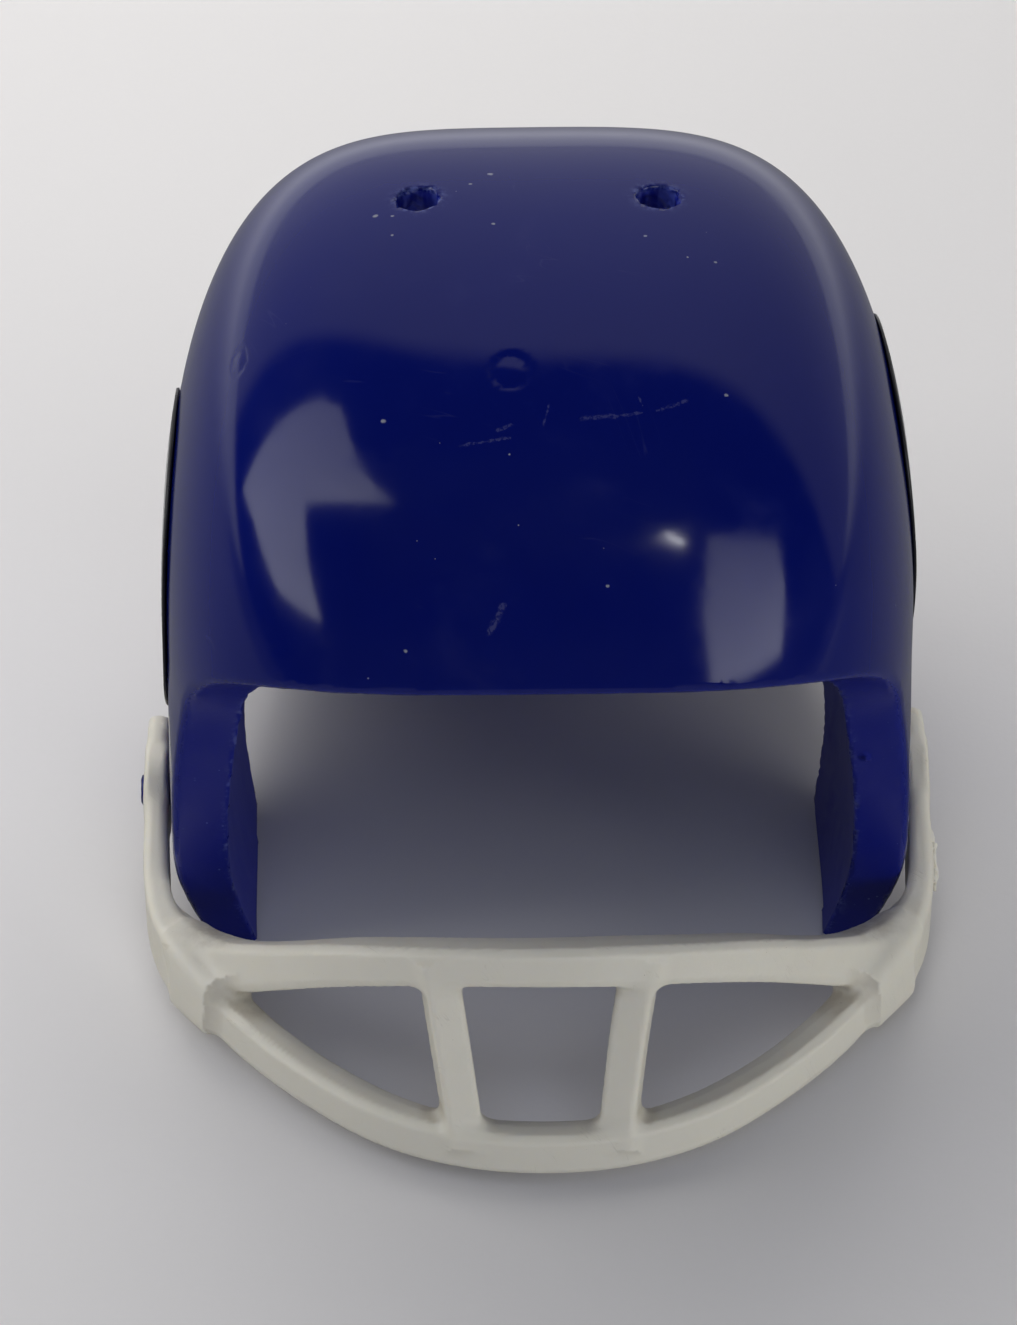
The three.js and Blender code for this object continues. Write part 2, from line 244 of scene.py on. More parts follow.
# -------------------------------------------------------------- meshing tools
def surface_nets(D, origin, h):
    nx, ny, nz = D.shape
    s = D < 0
    corners = [(a, b, c) for a in (0, 1) for b in (0, 1) for c in (0, 1)]

    def at(A, o):
        return A[o[0]:nx - 1 + o[0], o[1]:ny - 1 + o[1], o[2]:nz - 1 + o[2]]

    count = sum(at(s, o).astype(np.uint8) for o in corners)
    active = (count > 0) & (count < 8)
    index = np.full(active.shape, -1, np.int64)
    I = np.argwhere(active)
    index[active] = np.arange(len(I))
    total, number = np.zeros((len(I), 3)), np.zeros(len(I))
    for o in corners:
        for axis in range(3):
            if o[axis]:
                continue
            q = list(o)
            q[axis] = 1
            va = D[I[:, 0] + o[0], I[:, 1] + o[1], I[:, 2] + o[2]]
            vb = D[I[:, 0] + q[0], I[:, 1] + q[1], I[:, 2] + q[2]]
            m = (va < 0) != (vb < 0)
            t = np.where(m, va / np.where(m, va - vb, 1), 0)
            p = np.tile(np.array(o, float), (len(I), 1))
            p[:, axis] += t
            total[m] += p[m]
            number[m] += 1
    V = origin + (I + total / number[:, None]) * h
    faces = []
    for axis in range(3):
        b, c = (axis + 1) % 3, (axis + 2) % 3
        lo, hi = [slice(None)] * 3, [slice(None)] * 3
        lo[axis], hi[axis] = slice(0, -1), slice(1, None)
        A, B = s[tuple(lo)], s[tuple(hi)]
        E = np.argwhere(A != B)
        inside = A[E[:, 0], E[:, 1], E[:, 2]]
        ok = (E[:, b] > 0) & (E[:, c] > 0) & (E[:, b] < D.shape[b] - 1) & (E[:, c] < D.shape[c] - 1)
        E, inside = E[ok], inside[ok]
        quad = []
        for db, dc in ((-1, -1), (0, -1), (0, 0), (-1, 0)):
            cell = E.copy()
            cell[:, b] += db
            cell[:, c] += dc
            quad.append(index[cell[:, 0], cell[:, 1], cell[:, 2]])
        quad = np.stack(quad, 1)
        quad[~inside] = quad[~inside][:, ::-1]
        faces.append(quad)
    return V, np.vstack(faces)


def gradient(fn, V, e=0.03):
    g = np.empty_like(V)
    for k in range(3):
        o = np.zeros(3)
        o[k] = e
        A, B = V + o, V - o
        g[:, k] = (fn(A[:, 0], A[:, 1], A[:, 2]) - fn(B[:, 0], B[:, 1], B[:, 2])) / (2 * e)
    return g


def settle(fn, V, quads, h, rounds=2):
    """Moves the vertices onto the exact surface, evening them out on the way."""
    E = np.vstack([quads[:, [0, 1]], quads[:, [1, 2]], quads[:, [2, 3]], quads[:, [3, 0]]])
    deg = np.bincount(E[:, 0], minlength=len(V)) + np.bincount(E[:, 1], minlength=len(V))
    for r in range(rounds + 1):
        d = fn(V[:, 0], V[:, 1], V[:, 2])
        g = np.stack([fn(*(V + o).T) - d for o in np.eye(3) * 0.02], 1) / 0.02
        n2 = np.maximum((g * g).sum(1), 0.05)
        m = -g * (d / n2)[:, None]
        L = np.linalg.norm(m, axis=1)
        m *= np.minimum(1, 0.5 * h / np.maximum(L, 1e-9))[:, None]
        V = V + m
        if r < rounds:
            S = np.stack([np.bincount(E[:, 0], V[E[:, 1], k], len(V)) + np.bincount(E[:, 1], V[E[:, 0], k], len(V))
                          for k in range(3)], 1) / deg[:, None]
            n = g / np.sqrt(n2)[:, None]
            t = S - V
            t -= n * (t * n).sum(1)[:, None]
            V = V + 0.55 * t
    g = gradient(fn, V, 0.02)
    return V, g / np.maximum(np.linalg.norm(g, axis=1), 1e-9)[:, None]


def make_mesh(name, V, quads, N, attributes):
    if N is not None:
        quads = quads[:, ::-1]      # f runs against world Y, so the winding turns
    P = np.stack([V[:, 0], Y0 - V[:, 1], V[:, 2]], 1) * 0.001
    me = bpy.data.meshes.new(name)
    me.vertices.add(len(P))
    me.vertices.foreach_set("co", P.astype(np.float32).ravel())
    n = quads.shape[1]
    me.loops.add(quads.size)
    me.loops.foreach_set("vertex_index", quads.astype(np.int32).ravel())
    me.polygons.add(len(quads))
    me.polygons.foreach_set("loop_start", np.arange(0, quads.size, n, dtype=np.int32))
    me.polygons.foreach_set("use_smooth", np.ones(len(quads), bool))
    me.update(calc_edges=True)
    me.validate()
    for key, values in attributes.items():
        values = np.asarray(values, np.float32)
        if values.ndim == 1:
            me.attributes.new(key, "FLOAT", "POINT").data.foreach_set("value", values)
        else:
            me.attributes.new(key, "FLOAT_VECTOR", "POINT").data.foreach_set("vector", values.ravel())
    if N is not None:
        me.normals_split_custom_set_from_vertices(np.stack([N[:, 0], -N[:, 1], N[:, 2]], 1).tolist())
    o = bpy.data.objects.new(name, me)
    bpy.context.scene.collection.objects.link(o)
    return o


def grid(lo, hi, h):
    ax = [np.arange(a, b + h, h) for a, b in zip(lo, hi)]
    return ax, np.array([a[0] for a in ax])


# ---------------------------------------------------------------- shell mesh
def build_shell():
    h = 0.29
    (X, F, Z), origin = grid((-20.9, -23.4, -0.6), (20.9, 22.7, 38.2), h)
    D = np.empty((len(X), len(F), len(Z)), np.float32)
    g = np.meshgrid(F, Z, indexing="ij")
    for i in range(0, len(X), 6):
        xs = X[i:i + 6]
        x = np.repeat(xs, g[0].size)
        f, z = np.tile(g[0].ravel(), len(xs)), np.tile(g[1].ravel(), len(xs))
        # the walls' neighbourhood only; the rest is plainly in or out
        a = dome(x, f, z, OUTER)
        near = (a < 0.25) & (z > -0.7) & (dome(x, f, z, INNER) > -0.30)
        d = np.full(len(x), 2.0)
        d[near] = shell_distance(x[near], f[near], z[near])
        out_far = ~near
        peg = out_far & (np.abs(x) > 17) & (np.abs(f - PEG_F) < 2) & (np.abs(z - PEG_Z) < 2)
        if peg.any():
            d[peg] = shell_distance(x[peg], f[peg], z[peg])
        D[i:i + 6] = d.reshape(len(xs), len(F), len(Z))
    V, Q = surface_nets(D, origin, h)
    V, N = settle(shell_distance, V, Q, h)
    out, inn, face, neck = shell_fields(V[:, 0], V[:, 1], V[:, 2])
    cut = np.maximum(np.maximum(face, neck), -V[:, 2])
    on_cut = step(cut, -0.16, -0.03)
    rim_out = np.exp(-np.maximum(np.abs(out), np.abs(cut)) / 0.22)
    rim_in = np.exp(-np.maximum(np.abs(inn), np.abs(cut)) / 0.13)
    inside = (1 - step(inn, 0.05, 0.45)) * step(-cut, 0.04, 0.30)
    vent, wall = np.zeros(len(V)), np.zeros(len(V))
    for sx in (-1, 1):
        r = np.sqrt((V[:, 0] - sx * VENT_X) ** 2 + (V[:, 1] - VENT_F) ** 2)
        vent = np.maximum(vent, np.exp(-np.abs(r - VENT_D / 2 - 0.05) / 0.14) * (V[:, 2] > 30) * (np.abs(out) < 0.3))
        wall = np.maximum(wall, (1 - step(r, VENT_D / 2 + 0.08, VENT_D / 2 + 0.3)) * step(-out, 0.10, 0.35) * (V[:, 2] > 30))
    return make_mesh("shell_moulded", V, Q, N, {
        "on_cut": on_cut, "rim_out": rim_out, "rim_in": rim_in, "inside": inside, "vent_rim": vent,
        "vent_wall": wall})


# ----------------------------------------------------------------- faceguard
class Sweep:
    """A section carried along a line.  a runs outwards, b upwards."""

    def __init__(self, line, lean, section, spacing=0.4, side=None, outward=None):
        self.P, self.ds = spline(line, spacing)
        T = np.gradient(self.P[:, :3], axis=0)
        T /= np.linalg.norm(T, axis=1)[:, None]
        if side is None:
            level = np.stack([T[:, 1], -T[:, 0], 0 * T[:, 0]], 1)
            level *= np.where((level[:, 1] if outward is None else level[:, 0] * outward) < 0, -1, 1)[:, None]
            level /= np.linalg.norm(level, axis=1)[:, None]
            up = np.array([0, 0, 1.0]) - level * math.tan(lean)
            up -= T * (up * T).sum(1)[:, None]
            up /= np.linalg.norm(up, axis=1)[:, None]
            out = np.cross(T, up)
            out *= np.where((out * level).sum(1) < 0, -1, 1)[:, None]
        else:
            up = np.tile(np.array(side, float) / np.linalg.norm(side), (len(T), 1))
            up -= T * (up * T).sum(1)[:, None]
            up /= np.linalg.norm(up, axis=1)[:, None]
            out = np.cross(T, up)
            out *= np.where(out[:, 1] < 0, -1, 1)[:, None]
        self.T, self.up, self.out, self.section = T, up, out, section
        self.lo, self.hi = self.P[:, :3].min(0) - 2.6, self.P[:, :3].max(0) + 2.6
        self.extra = self.P[:, 3:]

    def __call__(self, x, f, z):
        d = np.full(x.shape, 2.5)
        m = ((x > self.lo[0]) & (x < self.hi[0]) & (f > self.lo[1]) & (f < self.hi[1])
             & (z > self.lo[2]) & (z < self.hi[2]))
        if m.any():
            d[m] = self.near(np.stack([x[m], f[m], z[m]], 1))
        return d

    def near(self, Q):
        S = self.P[:, :3]
        half = 0.5 * (S * S).sum(1)
        n = len(S)
        i = np.empty(len(Q), np.int64)
        for k in range(0, len(Q), 100000):
            i[k:k + 100000] = np.argmin(half - Q[k:k + 100000] @ S.T, axis=1)
        s = ((Q - S[i]) * self.T[i]).sum(1) / self.ds
        u = i + s
        c = np.clip(u, 0, n - 1.0001)
        j = c.astype(np.int64)
        w = (c - j)[:, None]
        mix = lambda A: A[j] * (1 - w) + A[j + 1] * w
        L = Q - mix(S)
        a, b = (L * mix(self.out)).sum(1), (L * mix(self.up)).sum(1)
        past = (np.abs(u - c)) * self.ds
        d = self.section(a, b, c / (n - 1), mix(self.extra) if self.extra.shape[1] else None)
        return np.where(past > 1e-3, np.maximum(d, past), d)


def rounded_box(a, b, ha, hb, r):
    qa, qb = np.abs(a) - ha + r, np.abs(b) - hb + r
    return np.sqrt(np.maximum(qa, 0) ** 2 + np.maximum(qb, 0) ** 2) + np.minimum(np.maximum(qa, qb), 0) - r


def convex(a, b, points, r):
    """Distance to a rounded convex section given counter-clockwise."""
    P = np.array(points, float)
    Q = np.roll(P, -1, axis=0)
    best, inside = np.full(a.shape, 1e9), np.full(a.shape, -1e9)
    for p, q in zip(P, Q):
        e = q - p
        n = np.array([e[1], -e[0]]) / np.hypot(*e)
        wa, wb = a - p[0], b - p[1]
        inside = np.maximum(inside, wa * n[0] + wb * n[1])
        t = np.clip((wa * e[0] + wb * e[1]) / (e @ e), 0, 1)
        best = np.minimum(best, (wa - t * e[0]) ** 2 + (wb - t * e[1]) ** 2)
    return np.where(inside > 0, np.sqrt(best), inside) - r


def bar_section(height, flare, r=0.24):
    k = height / 2
    pts = [(-0.84, -0.62 * k), (-0.5, -k + r), (0.66, -k + r), (1.0 - r, -k + 0.24 + r), (1.0 - r, k - 0.16 - r),
           (0.78 - r, k - r), (-0.10, k - 0.06 - r), (-0.56, 0.62 * k), (-0.84, 0.22 * k)]

    def section(a, b, u, extra):
        return convex(a, b / (1 + flare * np.abs(2 * u - 1) ** 3), pts, r)

    return section


def plate_section(a, b, u, extra):
    ha, hb = extra[:, 0] / 2, extra[:, 1] / 2
    return rounded_box(a, b, ha, hb, np.minimum(0.5, ha * 0.85))


lower_bar = Sweep(mirrored(LOWER), 0.10, bar_section(2.3, 0.0))
upper_bar = Sweep(mirrored(UPPER), 0.20, bar_section(2.05, 0.35))
MID = (ARM_IN + ARM_OUT) / 2
ARM_ROWS = [[0.2, MID, 5.75, 1.1, 2.4], [1.4, MID, 5.5, 1.1, 3.4], [4.0, MID, 5.05, 1.1, 3.7],
            [6.5, MID - 0.03, 4.45, 1.15, 3.3], [8.6, MID - 0.09, 3.85, 1.28, 3.3], [10.2, MID - 0.17, 3.4, 1.3, 3.4],
            [11.7, MID - 0.42, 3.1, 1.4, 3.6], [13.2, MID - 0.9, 3.0, 1.6, 3.7], [14.6, MID - 1.65, 2.95, 1.8, 3.7],
            [15.8, MID - 2.6, 2.85, 1.9, 3.5], [16.7, MID - 3.4, 2.75, 1.9, 3.1]]
FILL_ROWS = [[18.05, 12.05, 2.85, 1.1, 2.0], [17.4, 13.2, 2.95, 1.2, 2.4], [16.8, 14.3, 2.9, 1.2, 2.4], [16.1, 15.2, 2.85, 1.1, 2.3]]
arms, posts, fills = [], [], []
for sx in (-1, 1):
    rows = [[sx * (x - (0.12 if sx > 0 else 0)), f, z, t, hh] for f, x, z, t, hh in ARM_ROWS]
    s = Sweep(rows, 0.0, plate_section, outward=sx)
    arms.append(s)
    fills.append(Sweep([[sx * x, f, z, t, hh] for x, f, z, t, hh in FILL_ROWS], 0.0, plate_section, outward=sx))
    off = POST_SHIFT
    posts.append(Sweep([[sx * 4.85 - off, 23.0, 11.5], [sx * 4.25 - off, 24.3, 7.2], [sx * 3.65 - off * 0.8, 26.0, 2.4]],
                       0.0, lambda a, b, u, e: rounded_box(a, b, 0.90, 0.875, 0.30), side=(1, sx * 0.24, 0)))
guard_wobble = Waves(21, 10, 5, 14)
guard_rough = Waves(22, 18, 0.3, 0.9)


def guard_distance(x, f, z):
    d = smin(lower_bar(x, f, z), upper_bar(x, f, z), 0.7)
    for p in posts:
        d = smin(d, p(x, f, z), 0.75)
    for sx, a in zip((-1, 1), arms):
        shift = 0.12 if sx > 0 else 0.0
        eye = rmax(np.sqrt((f - PEG_F) ** 2 + (z - PEG_Z) ** 2) - EYE_D / 2,
                   np.abs(sx * x + shift - MID) - (ARM_OUT - ARM_IN) / 2, 0.25)
        arm = smin(a(x, f, z), eye, 0.3)
        if sx > 0:
            # the stub where the moulding was broken off its runner
            tab = rounded_box(f - 7.3, z - 2.6, 1.55, 0.8, 0.12)
            tab = rmax(tab, np.abs(x - 19.7) - 0.48, 0.10) + 0.05 * guard_rough(x, f, z)
            arm = smin(arm, tab, 0.25)
        d = smin(d, arm, 1.7)
        d = smin(d, fills[0 if sx < 0 else 1](x, f, z), 0.9)
        hole = np.where(sx * x > 15, PEG_HOLE_D / 2 - np.sqrt((f - PEG_F) ** 2 + (z - PEG_Z) ** 2), -5.0)
        d = rmax(d, hole, 0.12)
    return d + 0.015 * guard_wobble(x, f, z)


def build_guard():
    h = 0.22
    (X, F, Z), origin = grid((-20.9, -0.8, -0.2), (20.9, 28.3, 14.2), h)
    D = np.empty((len(X), len(F), len(Z)), np.float32)
    g = np.meshgrid(F, Z, indexing="ij")
    for i in range(0, len(X), 24):
        xs = X[i:i + 24]
        x = np.repeat(xs, g[0].size)
        f, z = np.tile(g[0].ravel(), len(xs)), np.tile(g[1].ravel(), len(xs))
        D[i:i + 24] = guard_distance(x, f, z).reshape(len(xs), len(F), len(Z))
    V, Q = surface_nets(D, origin, h)
    V, N = settle(guard_distance, V, Q, h)
    # how closed in a place is, and how far it faces back: masks for the colour painted lighter on faces turned back and
    # up, and for brown grime with painted shade on those faces and in the hollows
    cavity = np.zeros(len(V))
    for reach, share in ((0.5, 0.4), (1.2, 0.6)):
        P = V + N * reach
        cavity += share * (1 - np.clip(guard_distance(P[:, 0], P[:, 1], P[:, 2]) / reach, 0, 1))
    rear = np.clip(-N[:, 1] * 0.75 + N[:, 2] * 0.45, 0, 1)
    # where the arms meet the cheeks: mask for a painted contact shadow, also dirt
    corner = np.exp(-((np.abs(V[:, 0]) - 16.0) / 1.7) ** 2 - ((V[:, 1] - 14.6) / 1.6) ** 2) * step(N[:, 2] - N[:, 1] * 0.7, 0.2, 0.9)
    stub = (V[:, 0] > 19.35) * np.exp(-((V[:, 1] - 7.3) / 1.7) ** 4 - ((V[:, 2] - 2.6) / 1.0) ** 4)
    return make_mesh("faceguard_moulded", V, Q, N, {"cavity": cavity, "rear": rear, "corner": corner, "stub": stub})


# -------------------------------------------------------------------- decals
def side_x(f, z):
    lo, hi = np.zeros_like(f), np.full_like(f, 30.0)
    for _ in range(40):
        m = (lo + hi) / 2
        inside = dome(m, f, z, OUTER) < 0
        lo, hi = np.where(inside, m, lo), np.where(inside, hi, m)
    return lo


def build_decal(name, sx, centre):
    rings, spokes = 46, 168
    edge = DECAL_T * 0.35
    # radius share and height through the film, up one face, over the edge, back under
    prof = [(r, 1.0) for r in np.linspace(0.0, 1 - edge / DECAL_RF, rings)]
    prof += [(1 - edge / DECAL_RF * (1 - math.sin(t)), 1 - 0.35 * (1 - math.cos(t))) for t in (0.6, 1.2)]
    prof += [(1.0, 0.5), (1.0, 0.2), (1 - edge / DECAL_RF, 0.0)]
    prof += [(r, 0.0) for r in np.linspace(0.92, 0.0, 8)]
    V, A = [], []
    wave = Waves(31 if sx < 0 else 32, 6, 4, 9)
    for r, t in prof:
        n = 1 if r == 0 else spokes
        a = np.arange(n) * 2 * math.pi / n
        # the film's edge is cut a little unevenly
        k = r * (1 + 0.004 * np.sin(3 * a + 1.1) + 0.0025 * np.sin(11 * a + sx))
        f, z = centre[0] + DECAL_RF * k * np.cos(a), centre[1] + DECAL_RZ * k * np.sin(a)
        x = side_x(f, z)
        lift = DECAL_GAP + 0.010 * (1 + wave(x, f, z)) * r + t * DECAL_T
        V.append(np.stack([sx * (x + lift), f, z], 1))
        A.append(np.stack([k * np.cos(a) * DECAL_RF, k * np.sin(a) * DECAL_RZ, k + 0 * a], 1))
    start = np.r_[0, np.cumsum([len(v) for v in V])]
    V, A = np.vstack(V), np.vstack(A)
    tris = []
    for i in range(len(prof) - 1):
        a0, b0 = start[i], start[i + 1]
        na, nb = start[i + 1] - a0, start[i + 2] - b0
        for k in range(spokes):
            k2 = (k + 1) % spokes
            if na == 1:
                tris.append((a0, b0 + k, b0 + k2))
            elif nb == 1:
                tris.append((a0 + k, b0, a0 + k2))
            else:
                tris.append((a0 + k, b0 + k, b0 + k2))
                tris.append((a0 + k, b0 + k2, a0 + k2))
    T = np.array(tris)
    if sx < 0:
        T = T[:, ::-1]
    # (x, f, z) is left handed against the world, so the winding turns once more
    P = np.stack([V[:, 0], Y0 - V[:, 1], V[:, 2]], 1)
    a, b, c = P[T[:, 0]], P[T[:, 1]], P[T[:, 2]]
    if (np.einsum("ij,ij->i", a, np.cross(b, c))).sum() < 0:
        T = T[:, ::-1]
    return make_mesh(name, V, T, None, {"print_at": A})


# ----------------------------------------------------------------- materials
class Nodes:
    def __init__(self, name):
        self.m = bpy.data.materials.new(name)
        self.m.use_nodes = True
        self.t = self.m.node_tree
        self.t.nodes.clear()
        self.out = self.t.nodes.new("ShaderNodeOutputMaterial")
        self.b = self.t.nodes.new("ShaderNodeBsdfPrincipled")
        self.t.links.new(self.b.outputs[0], self.out.inputs["Surface"])

    def add(self, kind, **props):
        n = self.t.nodes.new(kind)
        for k, v in props.items():
            setattr(n, k, v)
        return n

    def put(self, socket, value):
        if isinstance(value, bpy.types.NodeSocket):
            self.t.links.new(value, socket)
        elif value is not None:
            socket.default_value = value

    def math(self, op, a, b=None, c=None, clamp=False):
        n = self.add("ShaderNodeMath", operation=op, use_clamp=clamp)
        for s, v in zip(n.inputs, (a, b, c)):
            self.put(s, v)
        return n.outputs[0]

    def range(self, v, lo, hi, a=0.0, b=1.0, smooth=True):
        n = self.add("ShaderNodeMapRange", interpolation_type="SMOOTHSTEP" if smooth else "LINEAR", clamp=True)
        for s, x in zip(n.inputs, (v, lo, hi, a, b)):
            self.put(s, x)
        return n.outputs[0]

    def mix(self, fac, a, b):
        n = self.add("ShaderNodeMix", data_type="RGBA")
        self.put(n.inputs[0], fac)
        self.put(n.inputs[6], a)
        self.put(n.inputs[7], b)
        return n.outputs[2]

    def attr(self, name, what="Fac"):
        return self.add("ShaderNodeAttribute", attribute_type="GEOMETRY", attribute_name=name).outputs[what]

    def place(self, scale=(1000, 1000, 1000), rotation=(0, 0, 0), location=(0, 0, 0)):
        c = self.add("ShaderNodeTexCoord").outputs["Object"]
        r = self.add("ShaderNodeMapping", vector_type="POINT")
        self.put(r.inputs["Vector"], c)
        r.inputs["Rotation"].default_value = rotation
        s = self.add("ShaderNodeMapping", vector_type="POINT")
        self.put(s.inputs["Vector"], r.outputs[0])
        s.inputs["Scale"].default_value = scale
        s.inputs["Location"].default_value = location
        return s.outputs[0]

    def noise(self, vec, scale, detail=2.0, rough=0.5, distortion=0.0):
        n = self.add("ShaderNodeTexNoise")
        self.put(n.inputs["Vector"], vec)
        n.inputs["Scale"].default_value = scale
        n.inputs["Detail"].default_value = detail
        n.inputs["Roughness"].default_value = rough
        n.inputs["Distortion"].default_value = distortion
        return n.outputs["Fac"]

    def specks(self, vec, scale, size, share):
        """Small round specks: size in cells, share of the cells that have one."""
        n = self.add("ShaderNodeTexVoronoi", feature="F1")
        self.put(n.inputs["Vector"], vec)
        n.inputs["Scale"].default_value = scale
        sep = self.add("ShaderNodeSeparateColor")
        self.put(sep.inputs[0], n.outputs["Color"])
        has = self.math("LESS_THAN", sep.outputs[0], share)
        width = self.range(sep.outputs[1], 0, 1, size * 0.35, size, smooth=False)
        edge = self.math("MULTIPLY", width, 0.55)
        n2 = self.add("ShaderNodeMapRange", interpolation_type="SMOOTHSTEP", clamp=True)
        for s, x in zip(n2.inputs, (n.outputs["Distance"], edge, width, 1.0, 0.0)):
            self.put(s, x)
        return self.math("MULTIPLY", n2.outputs[0], has)

    def stroke(self, p, q, width, jitter):
        """A single rub from p to q, each (x, f, z) in millimetres."""
        A, B = (Vector((c[0], Y0 - c[1], c[2])) for c in (p, q))
        AB = B - A
        v = self.add("ShaderNodeVectorMath", operation="SUBTRACT")
        self.put(v.inputs[0], self.mm)
        v.inputs[1].default_value = A
        dot = self.add("ShaderNodeVectorMath", operation="DOT_PRODUCT")
        self.put(dot.inputs[0], v.outputs[0])
        dot.inputs[1].default_value = AB / max(AB.dot(AB), 1e-9)
        t = self.math("ADD", dot.outputs["Value"], 0.0, clamp=True)
        along = self.add("ShaderNodeVectorMath", operation="SCALE")
        along.inputs[0].default_value = AB
        self.put(along.inputs["Scale"], t)
        far = self.add("ShaderNodeVectorMath", operation="DISTANCE")
        self.put(far.inputs[0], v.outputs[0])
        self.put(far.inputs[1], along.outputs[0])
        d = self.math("ADD", far.outputs["Value"], jitter)
        return self.range(d, width * 0.35, width, 1.0, 0.0)

    def scratches(self, rotation, along, across, width, mask_scale, mask, seed=0.0):
        """Long thin broken lines running one way."""
        v = self.place((1000 * along, 1000 * across, 1000 * along), rotation, (seed, seed * 1.7, seed * 0.6))
        n = self.noise(v, 1.0, 1.0, 0.4, 0.25)
        line = self.range(self.math("ABSOLUTE", self.math("SUBTRACT", n, 0.5)), 0.0, width, 1.0, 0.0)
        gate = self.noise(self.place((1000, 1000, 1000), (0.3, 0.7, seed), (seed, 3.0, seed)), mask_scale, 1.0, 0.5)
        return self.math("MULTIPLY", line, self.range(gate, mask, mask + 0.07))


RUBS = [((1.74, 11.46, 34.52), (3.2, 11.34, 34.58), 0.17),
        ((3.2, 11.34, 34.58), (4.48, 11.19, 34.63), 0.1),
        ((5.17, 11.09, 34.65), (6.52, 10.58, 34.82), 0.12),
        ((4.24, 10.27, 35.13), (4.54, 10.93, 34.77), 0.06),
        ((-2.11, 11.89, 34.26), (-1.46, 11.68, 34.39), 0.13),
        ((-3.85, 12.51, 33.85), (-1.56, 12.22, 34.06), 0.1),
        ((-0.0, 11.7, 34.38), (0.24, 10.8, 34.89), 0.09),
        ((-2.57, 18.57, 27.87), (-1.97, 17.89, 28.83), 0.22)]
LINT = [(-2.26, -4.17, 37.23, 0.16), (-7.74, -0.8, 37.23, 0.15), (-6.93, -0.61, 37.35, 0.09), (-3.22, -3.15, 37.37, 0.08), (-2.18, 0.42, 37.58, 0.1),
        (-7.35, 11.24, 34.34, 0.12), (4.94, 1.37, 37.48, 0.09), (8.17, 2.81, 36.99, 0.09), (8.38, 10.08, 34.76, 0.1), (2.76, 17.36, 29.51, 0.09),
        (-6.44, 18.91, 27.07, 0.1)]


